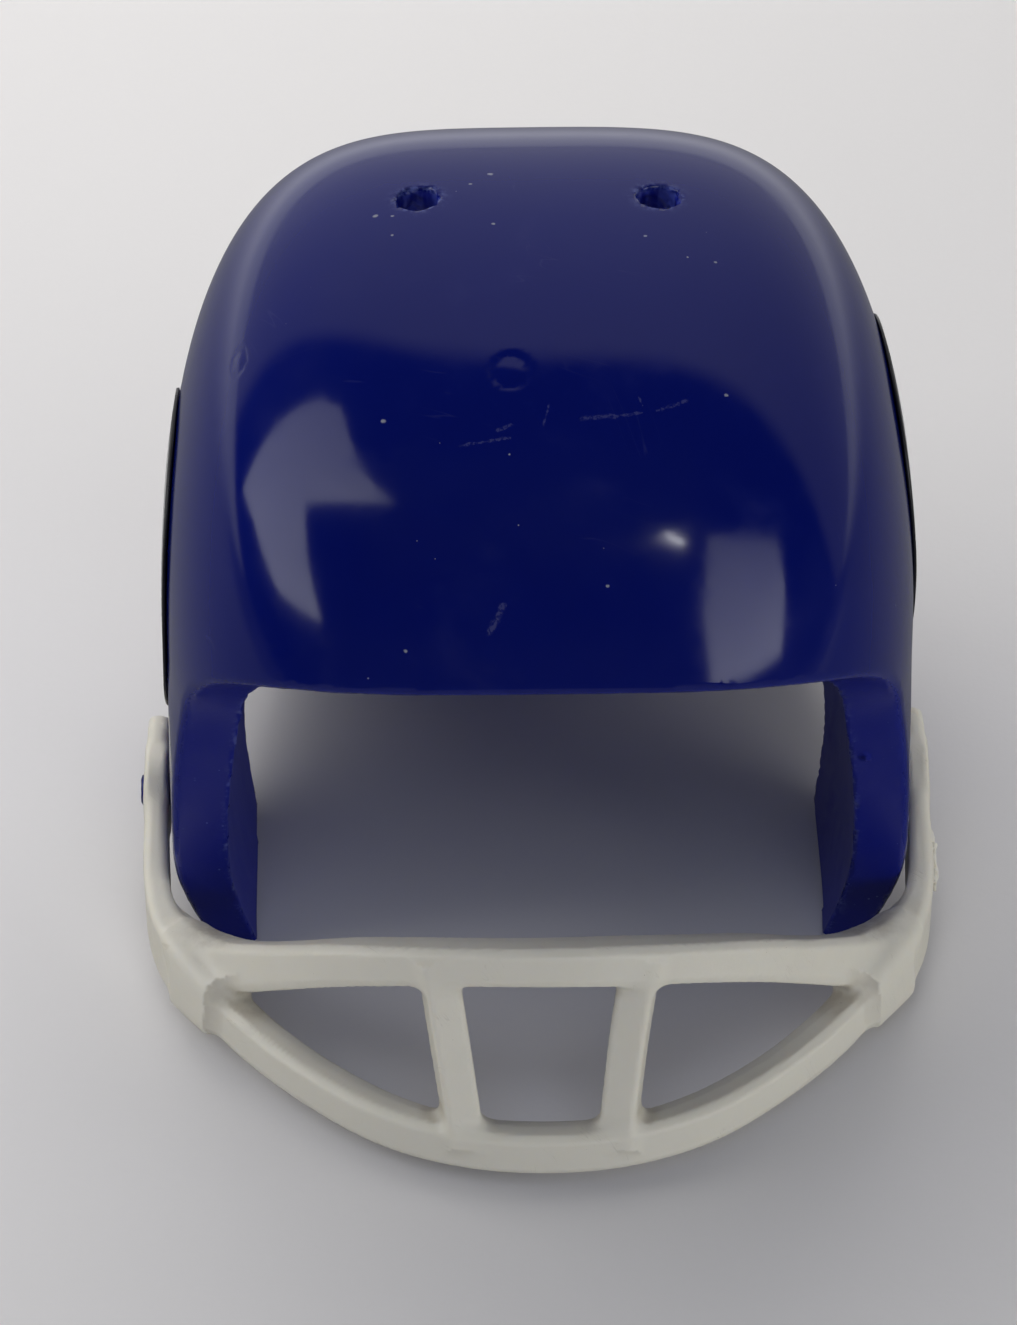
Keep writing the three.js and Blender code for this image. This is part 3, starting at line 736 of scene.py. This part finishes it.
def shell_material():
    n = Nodes("shell_gloss_blue")
    v = n.mm = n.place()
    on_cut, rim_out, rim_in = n.attr("on_cut"), n.attr("rim_out"), n.attr("rim_in")
    inside, vent, wall = n.attr("inside"), n.attr("vent_rim"), n.attr("vent_wall")
    flow = n.noise(v, 0.09, 3.0, 0.5, 0.6)
    colour = n.mix(flow, (0.0010, 0.0046, 0.104, 1), (0.0016, 0.0060, 0.124, 1))
    # the cut faces and the unpolished inside show more of the plastic's own blue
    colour = n.mix(n.math("MULTIPLY", on_cut, 0.75), colour, (0.0020, 0.0070, 0.185, 1))
    colour = n.mix(n.math("MULTIPLY", inside, 0.85), colour, (0.0060, 0.0160, 0.320, 1))
    # painted highlight: the vent walls are painted a lighter blue with bright vertical streaks, standing in for their
    # lit far side
    vent_painted_highlight_streaks = n.range(n.noise(n.place((1800, 1800, 350)), 1.0, 2.0, 0.6), 0.40, 0.66)
    colour = n.mix(wall, colour, n.mix(vent_painted_highlight_streaks, (0.0050, 0.0110, 0.260, 1), (0.060, 0.085, 0.420, 1)))
    # rubbed haze
    haze = n.range(n.noise(v, 0.22, 5.0, 0.62, 0.4), 0.52, 0.78)
    colour = n.mix(n.math("MULTIPLY", haze, 0.10), colour, (0.022, 0.028, 0.185, 1))
    # scratches
    s1 = n.scratches((0.2, 0.1, 0.25), 0.10, 1.3, 0.007, 0.20, 0.63, 3.0)
    s3 = n.scratches((1.1, 0.3, 1.25), 0.09, 1.1, 0.007, 0.22, 0.64, 23.0)
    fine = n.math("MAXIMUM", s1, s3)
    jitter = n.math("MULTIPLY", n.math("SUBTRACT", n.noise(v, 3.2, 3.0, 0.65), 0.46), 0.34)
    rubs = None
    for p, q, w in RUBS:
        k = n.stroke(p, q, w, jitter)
        rubs = k if rubs is None else n.math("MAXIMUM", rubs, k)
    rubs = n.math("MULTIPLY", rubs, n.range(n.noise(v, 5.5, 2.0, 0.6), 0.30, 0.62))
    lines = n.math("MAXIMUM", n.math("MULTIPLY", fine, 0.30), rubs)
    outside = n.math("SUBTRACT", 1.0, n.math("MAXIMUM", n.math("MAXIMUM", inside, on_cut), wall), clamp=True)
    lines = n.math("MULTIPLY", lines, outside)
    colour = n.mix(n.math("MULTIPLY", lines, 0.17), colour, (0.12, 0.13, 0.30, 1))
    # dust and lint
    dust = n.math("MAXIMUM", n.specks(v, 0.42, 0.050, 0.10), n.specks(n.place((1000, 1000, 1000), (0.4, 0.9, 0.2)), 1.2, 0.075, 0.07))
    ragged = n.math("MULTIPLY", n.math("SUBTRACT", n.noise(v, 6.0, 2.0, 0.6), 0.5), 0.10)
    for x, f, z, w in LINT:
        dust = n.math("MAXIMUM", dust, n.stroke((x, f, z), (x + 0.04, f, z), w, ragged))
    dust = n.math("MULTIPLY", dust, outside)
    colour = n.mix(n.math("MULTIPLY", dust, 0.60), colour, (0.36, 0.37, 0.40, 1))
    # pale grit on the cut faces and flakes along their inner edges
    grit = n.specks(v, 2.6, 0.20, 0.34)
    grit = n.math("MULTIPLY", grit, n.range(n.noise(v, 0.5, 2.0), 0.42, 0.66))
    grit = n.math("MULTIPLY", grit, on_cut)
    colour = n.mix(n.math("MULTIPLY", grit, 0.38), colour, (0.20, 0.26, 0.48, 1))
    flakes = n.math("MULTIPLY", rim_in, n.range(n.noise(v, 2.4, 3.0, 0.7), 0.50, 0.66))
    colour = n.mix(n.math("MULTIPLY", flakes, 0.65), colour, (0.20, 0.24, 0.46, 1))
    worn = n.math("MULTIPLY", rim_out, n.range(n.noise(v, 0.9, 3.0, 0.6), 0.36, 0.62, 0.25, 1.0))
    colour = n.mix(n.math("MULTIPLY", worn, 0.16), colour, (0.05, 0.07, 0.32, 1))
    torn = n.math("MULTIPLY", vent, n.range(n.noise(v, 2.6, 3.0, 0.7), 0.46, 0.62))
    colour = n.mix(n.math("MULTIPLY", torn, 0.60), colour, (0.16, 0.20, 0.48, 1))
    n.put(n.b.inputs["Base Color"], colour)
    # roughness
    base = n.range(n.noise(v, 0.6, 5.0, 0.6), 0.3, 0.7, 0.085, 0.135, smooth=False)
    r = n.math("ADD", base, n.math("MULTIPLY", haze, 0.10))
    r = n.math("ADD", r, n.math("MULTIPLY", lines, 0.26))
    r = n.math("ADD", r, n.math("MULTIPLY", dust, 0.5))
    r = n.math("ADD", r, n.math("MULTIPLY", on_cut, 0.20))
    r = n.math("ADD", r, n.math("MULTIPLY", n.math("MAXIMUM", inside, wall), 0.34))
    n.put(n.b.inputs["Roughness"], n.math("MINIMUM", r, 0.8))
    n.b.inputs["IOR"].default_value = 1.50
    n.put(n.b.inputs["Specular IOR Level"], n.range(on_cut, 0, 1, 0.5, 0.36))
    # relief
    height = n.math("MULTIPLY", n.noise(v, 1.6, 3.0, 0.5), 0.10)
    height = n.math("ADD", height, n.math("MULTIPLY", n.noise(v, 7.0, 3.0, 0.6), n.range(on_cut, 0, 1, 0.02, 0.55)))
    height = n.math("SUBTRACT", height, n.math("MULTIPLY", lines, 0.10))
    height = n.math("ADD", height, n.math("MULTIPLY", dust, 0.6))
    height = n.math("MULTIPLY", height, n.range(inside, 0, 1, 1.0, 0.25))
    bump = n.add("ShaderNodeBump")
    bump.inputs["Strength"].default_value = 0.5
    bump.inputs["Distance"].default_value = 0.00002
    n.put(bump.inputs["Height"], height)
    n.put(n.b.inputs["Normal"], bump.outputs[0])
    return n.m


def guard_material():
    n = Nodes("guard_off_white")
    v = n.place()
    cavity, rear, corner, stub = n.attr("cavity"), n.attr("rear"), n.attr("corner"), n.attr("stub")
    cloud = n.noise(v, 0.25, 4.0, 0.55, 0.3)
    colour = n.mix(cloud, (0.74, 0.715, 0.62, 1), (0.685, 0.66, 0.56, 1))
    # painted light and shade: faces turned back and up are painted lighter; brown darkening on them, in the hollows and
    # where the arms meet the cheeks is grime and painted shade together
    patch = n.range(n.noise(v, 0.55, 5.0, 0.62), 0.28, 0.72)
    rear_grime_and_shade = n.math("MULTIPLY", n.range(rear, 0.25, 0.95), n.range(patch, 0, 1, 0.35, 1.0))
    hollow_grime_and_shade = n.math("MULTIPLY", n.range(cavity, 0.10, 0.55), n.range(patch, 0, 1, 0.5, 1.0))
    # painted light: the faces turned back and up are made lighter, as if lit from above
    colour = n.mix(n.math("MULTIPLY", rear, 0.45), colour, (0.84, 0.82, 0.75, 1))
    # brown grime and painted shade on the faces turned back and up
    colour = n.mix(n.math("MULTIPLY", rear_grime_and_shade, 0.12), colour, (0.38, 0.32, 0.23, 1))
    # brown grime and painted shade in the hollows
    colour = n.mix(n.math("MULTIPLY", hollow_grime_and_shade, 0.42), colour, (0.30, 0.24, 0.155, 1))
    # painted contact shadow, also dirt, where the arms meet the cheeks
    colour = n.mix(n.math("MULTIPLY", n.math("MULTIPLY", corner, patch), 0.65), colour, (0.20, 0.15, 0.09, 1))
    dots = n.math("MAXIMUM", n.specks(v, 1.1, 0.055, 0.10), n.specks(n.place((1000, 1000, 1000), (0.7, 0.2, 0.5)), 2.4, 0.070, 0.07))
    colour = n.mix(n.math("MULTIPLY", dots, 0.75), colour, (0.10, 0.075, 0.045, 1))
    rub = n.scratches((0.2, 0.6, 0.9), 0.5, 4.2, 0.016, 0.5, 0.60, 5.0)
    colour = n.mix(n.math("MULTIPLY", rub, 0.25), colour, (0.42, 0.38, 0.30, 1))
    colour = n.mix(n.math("MULTIPLY", stub, 0.5), colour, (0.74, 0.73, 0.69, 1))
    n.put(n.b.inputs["Base Color"], colour)
    r = n.range(n.noise(v, 1.2, 5.0, 0.6), 0.3, 0.7, 0.36, 0.50, smooth=False)
    r = n.math("ADD", r, n.math("MULTIPLY", rear_grime_and_shade, 0.14))
    n.put(n.b.inputs["Roughness"], n.math("MINIMUM", n.math("ADD", r, n.math("MULTIPLY", stub, 0.2)), 0.9))
    n.b.inputs["IOR"].default_value = 1.49
    n.b.inputs["Subsurface Weight"].default_value = 0.22
    n.b.inputs["Subsurface Radius"].default_value = (1.0, 0.8, 0.5)
    n.b.inputs["Subsurface Scale"].default_value = 0.0009
    height = n.math("ADD", n.math("MULTIPLY", n.noise(v, 2.0, 4.0, 0.55), 0.5), n.math("MULTIPLY", n.noise(v, 9.0, 2.0, 0.5), 0.12))
    height = n.math("SUBTRACT", height, n.math("MULTIPLY", rub, 0.3))
    bump = n.add("ShaderNodeBump")
    bump.inputs["Strength"].default_value = 0.55
    bump.inputs["Distance"].default_value = 0.00004
    n.put(bump.inputs["Height"], height)
    n.put(n.b.inputs["Normal"], bump.outputs[0])
    return n.m


def decal_material():
    """A plain print: black border, pale field, two slanted stripes."""
    n = Nodes("decal_film")
    v = n.place()
    at = n.attr("print_at", "Vector")
    sep = n.add("ShaderNodeSeparateXYZ")
    n.put(sep.inputs[0], at)
    f, z, k = sep.outputs[0], sep.outputs[1], sep.outputs[2]
    wob = n.math("MULTIPLY", n.math("SUBTRACT", n.noise(v, 1.2, 3.0), 0.5), 0.10)
    s = n.math("ADD", n.math("ADD", n.math("MULTIPLY", f, 0.52), n.math("MULTIPLY", z, 0.854)), wob)
    wide = n.range(n.math("ABSOLUTE", s), 1.75, 1.85, 1.0, 0.0)
    thin = n.range(n.math("ABSOLUTE", n.math("SUBTRACT", n.math("ABSOLUTE", s), 3.1)), 0.34, 0.42, 1.0, 0.0)
    field = n.mix(n.noise(v, 0.7, 3.0), (0.52, 0.52, 0.52, 1), (0.60, 0.60, 0.58, 1))
    colour = n.mix(wide, field, (0.012, 0.018, 0.20, 1))
    colour = n.mix(thin, colour, (0.22, 0.23, 0.26, 1))
    border = n.range(n.math("ADD", k, n.math("MULTIPLY", wob, 0.05)), 0.868, 0.882)
    colour = n.mix(border, colour, (0.012, 0.012, 0.014, 1))
    wear = n.math("MULTIPLY", n.range(n.noise(v, 1.8, 5.0, 0.68), 0.60, 0.72), n.range(k, 0.3, 1.0, 0.35, 1.0))
    colour = n.mix(n.math("MULTIPLY", n.math("MULTIPLY", wear, 0.22), n.math("SUBTRACT", 1.0, wide, clamp=True)), colour, (0.30, 0.30, 0.31, 1))
    dust = n.specks(v, 1.4, 0.07, 0.12)
    colour = n.mix(n.math("MULTIPLY", dust, 0.15), colour, (0.35, 0.35, 0.37, 1))
    n.put(n.b.inputs["Base Color"], colour)
    r = n.math("ADD", n.range(n.noise(v, 1.5, 4.0), 0.3, 0.7, 0.26, 0.34, smooth=False), n.math("MULTIPLY", wear, 0.08))
    n.put(n.b.inputs["Roughness"], r)
    bump = n.add("ShaderNodeBump")
    bump.inputs["Strength"].default_value = 0.5
    bump.inputs["Distance"].default_value = 0.00002
    n.put(bump.inputs["Height"], n.noise(v, 1.4, 4.0, 0.6))
    n.put(n.b.inputs["Normal"], bump.outputs[0])
    return n.m


def floor_material():
    n = Nodes("table_top")
    v = n.place()
    tone = n.mix(n.noise(v, 0.02, 4.0, 0.55), (0.755, 0.742, 0.733, 1), (0.775, 0.762, 0.756, 1))
    tone = n.mix(n.math("MULTIPLY", n.noise(v, 2.4, 2.0), 0.05), tone, (0.60, 0.59, 0.585, 1))
    n.put(n.b.inputs["Base Color"], tone)
    n.put(n.b.inputs["Roughness"], n.range(n.noise(v, 0.8, 4.0), 0.3, 0.7, 0.50, 0.60, smooth=False))
    n.b.inputs["IOR"].default_value = 1.4
    bump = n.add("ShaderNodeBump")
    bump.inputs["Strength"].default_value = 0.3
    bump.inputs["Distance"].default_value = 0.00002
    n.put(bump.inputs["Height"], n.noise(v, 3.0, 3.0))
    n.put(n.b.inputs["Normal"], bump.outputs[0])
    return n.m


# ------------------------------------------------------------------ assembly
def finish_piece(o, body, node, material):
    o.data.materials.append(material)
    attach(o, body)
    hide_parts(node)
    return o


blue, white, film = shell_material(), guard_material(), decal_material()
for name, m in (("shell", blue), ("faceguard", white), ("decal_left", film), ("decal_right", film)):
    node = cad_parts[name]
    if not node.material_slots:
        node.data.materials.append(m)
    for slot in node.material_slots:
        slot.material = m
finish_piece(build_shell(), "shell_body", "shell", blue)
finish_piece(build_guard(), "guard_body", "faceguard", white)
finish_piece(build_decal("decal_left_film", -1, DECAL_LEFT), "shell_body", "decal_left", film)
finish_piece(build_decal("decal_right_film", 1, DECAL_RIGHT), "shell_body", "decal_right", film)


# --------------------------------------------------------------------- stage
def make_floor():
    n, r = 48, 3.0
    t = np.linspace(-1, 1, n)
    t = np.sign(t) * np.abs(t) ** 2 * r
    g = np.stack(np.meshgrid(t, t, indexing="ij"), -1).reshape(-1, 2)
    V = np.column_stack([g, np.full(len(g), -0.00002)])
    i = np.arange(n * n).reshape(n, n)
    Q = np.stack([i[:-1, :-1], i[1:, :-1], i[1:, 1:], i[:-1, 1:]], -1).reshape(-1, 4)
    me = bpy.data.meshes.new("table_top")
    me.from_pydata(V.tolist(), [], Q.tolist())
    o = bpy.data.objects.new("table_top", me)
    bpy.context.scene.collection.objects.link(o)
    me.materials.append(floor_material())


make_floor()
HEART = Vector((0, Y0, 20)) * 0.001


def card(name, az, el, wide, tall, radiance, distance=0.5, roll=0.0, glossy=True, diffuse=True, colour=(1, 1, 1)):
    """A soft box seen from the helmet at az (0 in front, + to the right) and el."""
    a, e = math.radians(az), math.radians(el)
    d = Vector((math.sin(a) * math.cos(e), -math.cos(a) * math.cos(e), math.sin(e)))
    L = bpy.data.lights.new(name, "AREA")
    L.shape = "RECTANGLE"
    L.size = 2 * distance * math.tan(math.radians(wide) / 2)
    L.size_y = 2 * distance * math.tan(math.radians(tall) / 2)
    L.energy = radiance * math.pi * L.size * L.size_y
    L.color = colour
    o = bpy.data.objects.new(name, L)
    bpy.context.scene.collection.objects.link(o)
    o.location = HEART + d * distance
    o.rotation_mode = "QUATERNION"
    q = d.to_track_quat("Z", "Y")
    o.rotation_quaternion = q @ Matrix.Rotation(math.radians(roll), 3, "Z").to_quaternion()
    o.visible_camera = False
    o.visible_glossy = glossy
    o.visible_diffuse = diffuse
    return o


def direction(az, el):
    a, e = math.radians(az), math.radians(el)
    return Vector((math.sin(a) * math.cos(e), -math.cos(a) * math.cos(e), math.sin(e)))


def gloss_only(o):
    """Part of the studio that shows in reflections alone."""
    o.visible_camera = o.visible_diffuse = o.visible_shadow = False
    o.visible_transmission = o.visible_volume_scatter = False


def glow(name, corners, radiance, distance=0.5):
    """A window-like soft box whose corners lie at (az, el, share of full brightness) round the helmet."""
    ring = [HEART + direction(az, el) * distance for az, el, _ in corners]
    n = len(ring)
    V = [sum(ring, Vector()) / n] + ring
    level = [sum(c[2] for c in corners) / n] + [c[2] for c in corners]
    me = bpy.data.meshes.new(name)
    me.from_pydata([tuple(v) for v in V], [], [(0, i + 1, (i + 1) % n + 1) for i in range(n)])
    me.attributes.new("level", "FLOAT", "POINT").data.foreach_set("value", level)
    m = bpy.data.materials.new(name)
    m.use_nodes = True
    t = m.node_tree
    t.nodes.clear()
    out, em, at = (t.nodes.new(k) for k in ("ShaderNodeOutputMaterial", "ShaderNodeEmission", "ShaderNodeAttribute"))
    at.attribute_name = "level"
    mul = t.nodes.new("ShaderNodeMath")
    mul.operation = "MULTIPLY"
    mul.inputs[1].default_value = radiance
    em.inputs["Color"].default_value = (0.97, 0.98, 1.0, 1)
    t.links.new(at.outputs["Fac"], mul.inputs[0])
    t.links.new(mul.outputs[0], em.inputs["Strength"])
    t.links.new(em.outputs[0], out.inputs["Surface"])
    me.materials.append(m)
    o = bpy.data.objects.new(name, me)
    bpy.context.scene.collection.objects.link(o)
    gloss_only(o)


# windows mirrored by the gloss
glow("window_left_upper", [(-100, 51, 0.6), (-91, 60, 0.6), (-55, 60, 0.7), (-26, 57, 0.8), (-49, 51, 1.0), (-72, 37, 0.9),
                           (-95, 10, 1.0), (-106, 5, 0.8), (-105, 16, 0.8)], 2.0)
glow("window_left_lower", [(-72, 37, 0.9), (-60, 30, 0.9), (-44, 21, 1.2), (-70, 14, 1.2), (-95, 10, 1.0)], 2.0)
glow("window_right", [(29, 47, 0.45), (62, 32, 0.5), (58, 22, 0.9), (48, 10, 1.3), (19, 9, 1.2), (20, 28, 0.8)], 2.0)
card("lamp_small", 17, 48.5, 4.5, 1.8, 13.0, roll=-50.0, diffuse=False)

# a dark grey sheet on the table, seen only in reflections: a painted reflection that puts a dimmer table in the gloss,
# glowing brighter towards the back
sheet = bpy.data.meshes.new("painted_reflection_sheet")
sheet.from_pydata([(-1.5, -1.5, 0.0001), (1.5, -1.5, 0.0001), (1.5, 1.5, 0.0001), (-1.5, 1.5, 0.0001)], [], [(0, 1, 2, 3)])
sheet_m = bpy.data.materials.new("painted_reflection_grey")
sheet_m.use_nodes = True
sheet_b = sheet_m.node_tree.nodes["Principled BSDF"]
sheet_b.inputs["Base Color"].default_value = (0.15, 0.15, 0.155, 1)
sheet_b.inputs["Roughness"].default_value = 1.0
sheet_b.inputs["Specular IOR Level"].default_value = 0.0
sheet_t = sheet_m.node_tree
sheet_c = sheet_t.nodes.new("ShaderNodeTexCoord")
sheet_s = sheet_t.nodes.new("ShaderNodeSeparateXYZ")
sheet_r = sheet_t.nodes.new("ShaderNodeMapRange")
sheet_r.interpolation_type = "SMOOTHSTEP"
# the sheet glows brighter towards the back: painted light in the reflection along the top of the shell
for key, value in (("From Min", 0.06), ("From Max", 0.17), ("To Min", 0.05), ("To Max", 0.54)):
    sheet_r.inputs[key].default_value = value
sheet_t.links.new(sheet_c.outputs["Object"], sheet_s.inputs[0])
sheet_t.links.new(sheet_s.outputs[1], sheet_r.inputs["Value"])
sheet_t.links.new(sheet_r.outputs[0], sheet_b.inputs["Emission Strength"])
sheet_b.inputs["Emission Color"].default_value = (1.0, 1.0, 1.0, 1)
sheet.materials.append(sheet_m)
sheet_o = bpy.data.objects.new("painted_reflection_sheet", sheet)
bpy.context.scene.collection.objects.link(sheet_o)
gloss_only(sheet_o)

# what lights the scene: bright and close behind, softer from the left and the front
card("soft_back", 190, 40, 60, 40, 2.5, distance=0.20, glossy=False, colour=(1.0, 0.985, 0.97))
card("soft_left", -100, 30, 50, 40, 2.25, distance=0.25, glossy=False, colour=(1.0, 0.99, 0.98))
card("soft_right", 66, 9, 44, 18, 4.2, distance=0.35, glossy=False)
card("soft_front", -8, 13, 80, 22, 1.15, distance=0.50, glossy=False, colour=(0.95, 0.97, 1.06))
card("soft_front_high", 0, 56, 40, 30, 0.85, distance=0.50, glossy=False, colour=(0.86, 0.94, 1.20))

world = bpy.data.worlds.new("room")
bpy.context.scene.world = world
world.use_nodes = True
wt = world.node_tree
wt.nodes.clear()
wo = wt.nodes.new("ShaderNodeOutputWorld")
bg = wt.nodes.new("ShaderNodeBackground")
tc = wt.nodes.new("ShaderNodeTexCoord")
sx = wt.nodes.new("ShaderNodeSeparateXYZ")
wt.links.new(tc.outputs["Generated"], sx.inputs[0])


def wmath(op, a, b=None, c=None):
    m = wt.nodes.new("ShaderNodeMath")
    m.operation = op
    for s, v in zip(m.inputs, (a, b, c)):
        if isinstance(v, bpy.types.NodeSocket):
            wt.links.new(v, s)
        elif v is not None:
            s.default_value = v
    return m.outputs[0]


# the room is bright behind the helmet and dark in front of it
left = wmath("MULTIPLY", wmath("MAXIMUM", wmath("MULTIPLY", sx.outputs[0], -1.0), 0.0), 0.45)
right = wmath("MULTIPLY", wmath("MAXIMUM", sx.outputs[0], 0.0), -0.15)
edge = wmath("ADD", wmath("ADD", left, right), 0.15)
side = wmath("SUBTRACT", sx.outputs[1], edge)
mr = wt.nodes.new("ShaderNodeMapRange")
mr.interpolation_type = "SMOOTHSTEP"
mr.inputs["From Min"].default_value = -0.06
mr.inputs["From Max"].default_value = 0.06
mr.inputs["To Min"].default_value = 0.015
mr.inputs["To Max"].default_value = 0.42
wt.links.new(side, mr.inputs["Value"])
dim = wmath("SUBTRACT", 1.0, wmath("MULTIPLY", wmath("MULTIPLY", sx.outputs[0], sx.outputs[0]), 0.55))
wt.links.new(wmath("MULTIPLY", mr.outputs[0], dim), bg.inputs["Strength"])
bg.inputs["Color"].default_value = (1.0, 0.99, 0.985, 1)
wt.links.new(bg.outputs[0], wo.inputs["Surface"])

# -------------------------------------------------------------------- camera
FOCAL, DIST, EL, AZ, U0, V0 = 4554.0, 230.0, 41.0, -0.9, 537.0, 600.55
W, H = 1017, 1325
e, a = math.radians(EL), math.radians(AZ)
back = Vector((math.sin(a) * math.cos(e), -math.cos(a) * math.cos(e), math.sin(e)))
right_v = Vector((math.cos(a), math.sin(a), 0))
up_v = back.cross(right_v)
target = Vector((0, Y0, 14.0))
eye = target + back * DIST - right_v * ((U0 - W / 2) / FOCAL * DIST) + up_v * ((V0 - H / 2) / FOCAL * DIST)
cam = bpy.data.cameras.new("photo_view")
cam.sensor_fit = "AUTO"
cam.sensor_width = 36.0
cam.lens = 36.0 * FOCAL / H
cam.clip_start, cam.clip_end = 0.01, 20
cam_o = bpy.data.objects.new("photo_view", cam)
bpy.context.scene.collection.objects.link(cam_o)
M = Matrix((right_v, up_v, back)).transposed().to_4x4()
M.translation = eye * 0.001
cam_o.matrix_world = M
bpy.context.scene.camera = cam_o
bpy.context.scene.view_settings.view_transform = "Standard"
